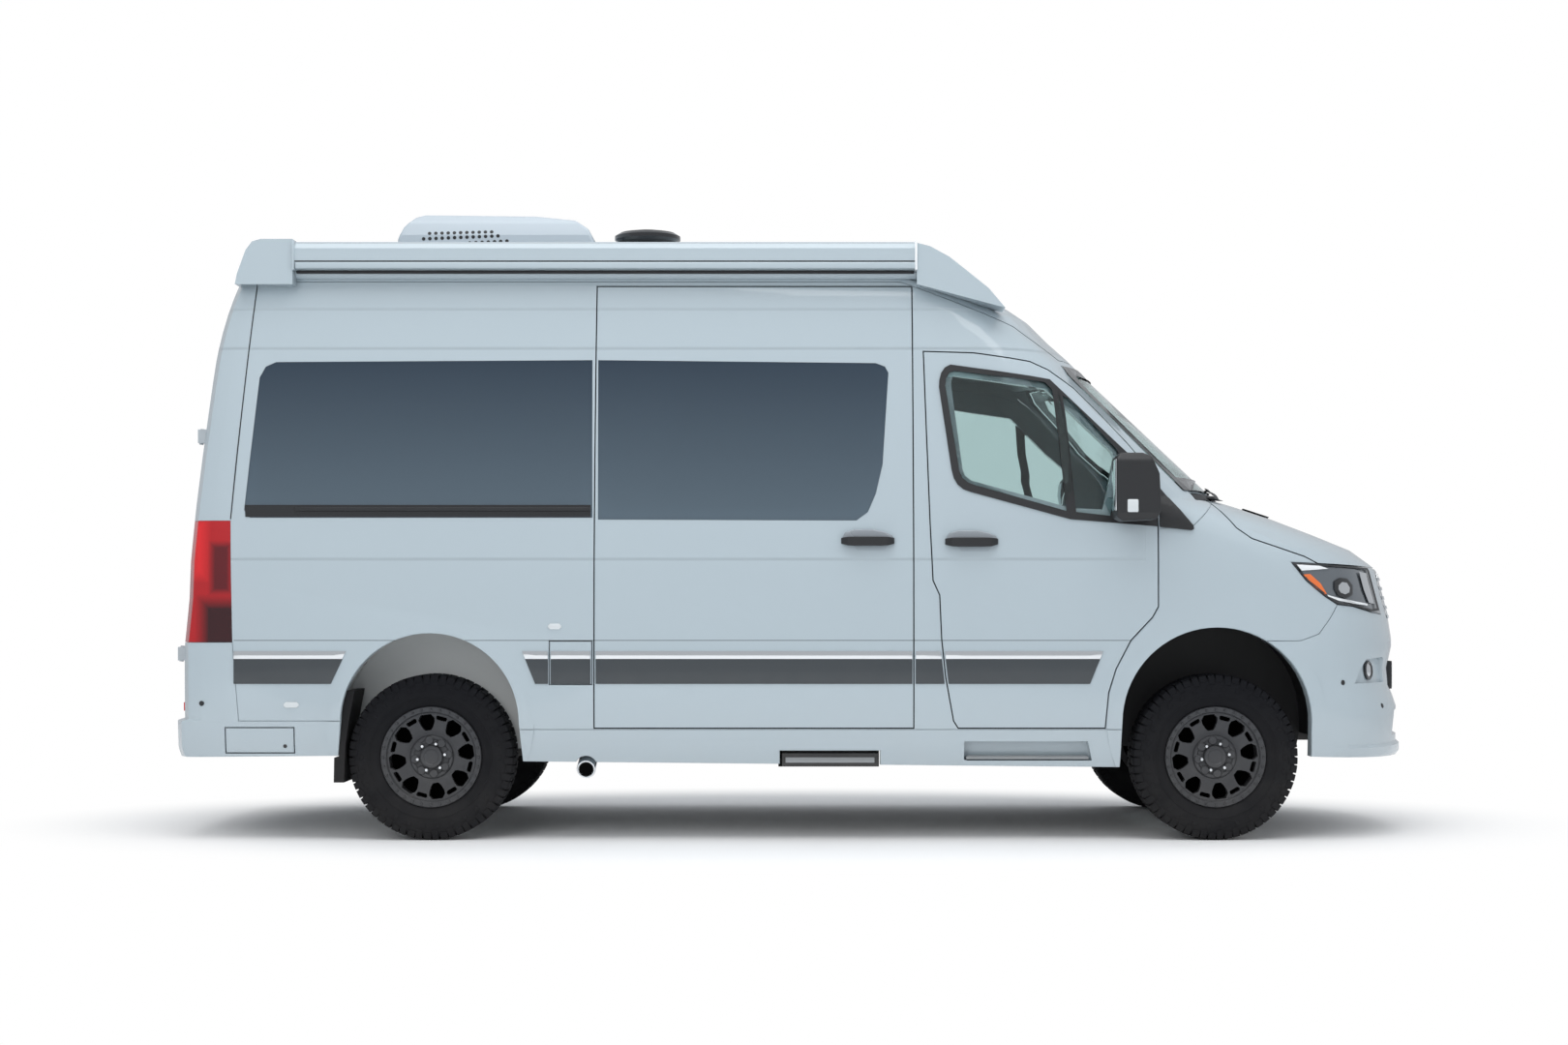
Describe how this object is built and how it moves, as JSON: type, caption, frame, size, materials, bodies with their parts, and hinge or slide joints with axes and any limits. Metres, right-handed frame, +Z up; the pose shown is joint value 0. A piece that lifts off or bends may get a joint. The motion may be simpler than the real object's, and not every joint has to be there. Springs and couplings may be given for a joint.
{
  "type": "camper van",
  "caption": "High-roof camper van with tinted side windows, sliding door, roof awning, roof air conditioner and all-terrain tyres.",
  "frame": {"origin": "middle of the overall box on the ground", "axes": "+X forward, +Y to the van's left, +Z up"},
  "size_m": [5.944, 2.43, 3.03],
  "materials": {
    "black_plastic": "black grained",
    "body_paint": "pale grey-blue gloss",
    "bright_steel": "polished",
    "cabinet_wood": "satin veneer",
    "cast_metal": "bare",
    "clear_glass": "light tint",
    "dark_steel": "black coated",
    "flap_rubber": "black",
    "lamp_clear": "clear lens",
    "lamp_red": "red lens",
    "tinted_glass": "dark tint",
    "tyre": "black",
    "upholstery": "soft grain",
    "wheel_alloy": "matte dark grey coat",
    "wheel_leather": "black",
    "white_plastic": "white"
  },
  "bodies": {
    "van": {"floor": "dark_steel", "roof": "body_paint", "side_left": "body_paint", "side_right": "body_paint", "wing_left": "body_paint", "wing_right": "body_paint", "cowl": "black_plastic", "grille": "black_plastic", "headlamps": "lamp_clear", "front_bumper": "body_paint", "rear_bumper": "body_paint", "sills": "body_paint", "tail_lamps": "lamp_red", "windscreen": "clear_glass", "side_glass": "tinted_glass", "sliding_door": "body_paint", "sliding_glass": "tinted_glass", "rear_hinges": "dark_steel", "awning": "body_paint", "awning_fairings": "body_paint", "roof_cooler": "white_plastic", "roof_antenna": "black_plastic", "chassis": "dark_steel", "engine": "cast_metal", "driveline": "dark_steel", "exhaust": "bright_steel", "fuel_tank": "black_plastic", "front_axle": "dark_steel", "rear_axle": "dark_steel", "mud_flaps": "flap_rubber", "seats": "upholstery", "dashboard": "black_plastic", "steering_wheel": "wheel_leather", "furniture": "cabinet_wood", "bed_cushion": "upholstery"},
    "knuckle_left_body": {"knuckle_left": "dark_steel"},
    "knuckle_right_body": {"knuckle_right": "dark_steel"},
    "wheel_front_left_body": {"wheel_front_left": "wheel_alloy", "tyre_front_left": "tyre"},
    "wheel_front_right_body": {"wheel_front_right": "wheel_alloy", "tyre_front_right": "tyre"},
    "wheel_rear_left_body": {"wheel_rear_left": "wheel_alloy", "tyre_rear_left": "tyre"},
    "wheel_rear_right_body": {"wheel_rear_right": "wheel_alloy", "tyre_rear_right": "tyre"},
    "door_front_left_body": {"door_front_left": "body_paint", "door_glass_left": "clear_glass", "mirror_left": "black_plastic"},
    "door_front_right_body": {"door_front_right": "body_paint", "door_glass_right": "clear_glass", "mirror_right": "black_plastic"},
    "door_rear_left_body": {"door_rear_left": "body_paint", "rear_glass_left": "tinted_glass"},
    "door_rear_right_body": {"door_rear_right": "body_paint", "rear_glass_right": "tinted_glass"},
    "bonnet_body": {"bonnet": "body_paint"},
    "utility_hatch_body": {"utility_hatch": "body_paint"},
    "bumper_hatch_body": {"bumper_hatch": "body_paint"},
    "entry_step_body": {"entry_step": "black_plastic"}
  },
  "joints": [
    {"name": "steer_left", "type": "hinge", "parent": "van", "child": "knuckle_left_body", "pos_m": [1.935, 0.76, 0.387], "axis": [0, 0, 1], "range_deg": [-33, 33]},
    {"name": "steer_right", "type": "hinge", "parent": "van", "child": "knuckle_right_body", "pos_m": [1.935, -0.76, 0.387], "axis": [0, 0, 1], "range_deg": [-33, 33]},
    {"name": "spin_front_left", "type": "hinge", "parent": "knuckle_left_body", "child": "wheel_front_left_body", "pos_m": [1.935, 0.855, 0.387], "axis": [0, 1, 0], "continuous": true},
    {"name": "spin_front_right", "type": "hinge", "parent": "knuckle_right_body", "child": "wheel_front_right_body", "pos_m": [1.935, -0.855, 0.387], "axis": [0, 1, 0], "continuous": true},
    {"name": "spin_rear_left", "type": "hinge", "parent": "van", "child": "wheel_rear_left_body", "pos_m": [-1.73, 0.855, 0.387], "axis": [0, 1, 0], "continuous": true},
    {"name": "spin_rear_right", "type": "hinge", "parent": "van", "child": "wheel_rear_right_body", "pos_m": [-1.73, -0.855, 0.387], "axis": [0, 1, 0], "continuous": true},
    {"name": "door_front_left_swing", "type": "hinge", "parent": "van", "child": "door_front_left_body", "pos_m": [1.661, 1.0115, 1.1], "axis": [0, 0, -1], "range_deg": [0, 68]},
    {"name": "door_front_right_swing", "type": "hinge", "parent": "van", "child": "door_front_right_body", "pos_m": [1.661, -1.0115, 1.1], "axis": [0, 0, 1], "range_deg": [0, 68]},
    {"name": "door_rear_left_swing", "type": "hinge", "parent": "van", "child": "door_rear_left_body", "pos_m": [-2.926, 0.812, 0.9], "axis": [-0.0915, 0, -0.9958], "range_deg": [0, 170]},
    {"name": "door_rear_right_swing", "type": "hinge", "parent": "van", "child": "door_rear_right_body", "pos_m": [-2.926, -0.812, 0.9], "axis": [0.0915, 0, 0.9958], "range_deg": [0, 170]},
    {"name": "bonnet_lift", "type": "hinge", "parent": "van", "child": "bonnet_body", "pos_m": [1.938, 0, 1.6], "axis": [0, -1, 0], "range_deg": [0, 60]},
    {"name": "utility_hatch_swing", "type": "hinge", "parent": "van", "child": "utility_hatch_body", "pos_m": [-0.9765, -1.0105, 0.83], "axis": [0, 0, 1], "range_deg": [0, 110]},
    {"name": "bumper_hatch_swing", "type": "hinge", "parent": "van", "child": "bumper_hatch_body", "pos_m": [-2.679, -1.0005, 0.468], "axis": [0, 0, -1], "range_deg": [0, 100]},
    {"name": "entry_step_slide", "type": "slide", "parent": "van", "child": "entry_step_body", "axis": [0, -1, 0], "range_m": [0, 0.25]}
  ],
  "couplings": [
    {"joint": "steer_right", "follows": "steer_left", "ratio": 1}
  ]
}
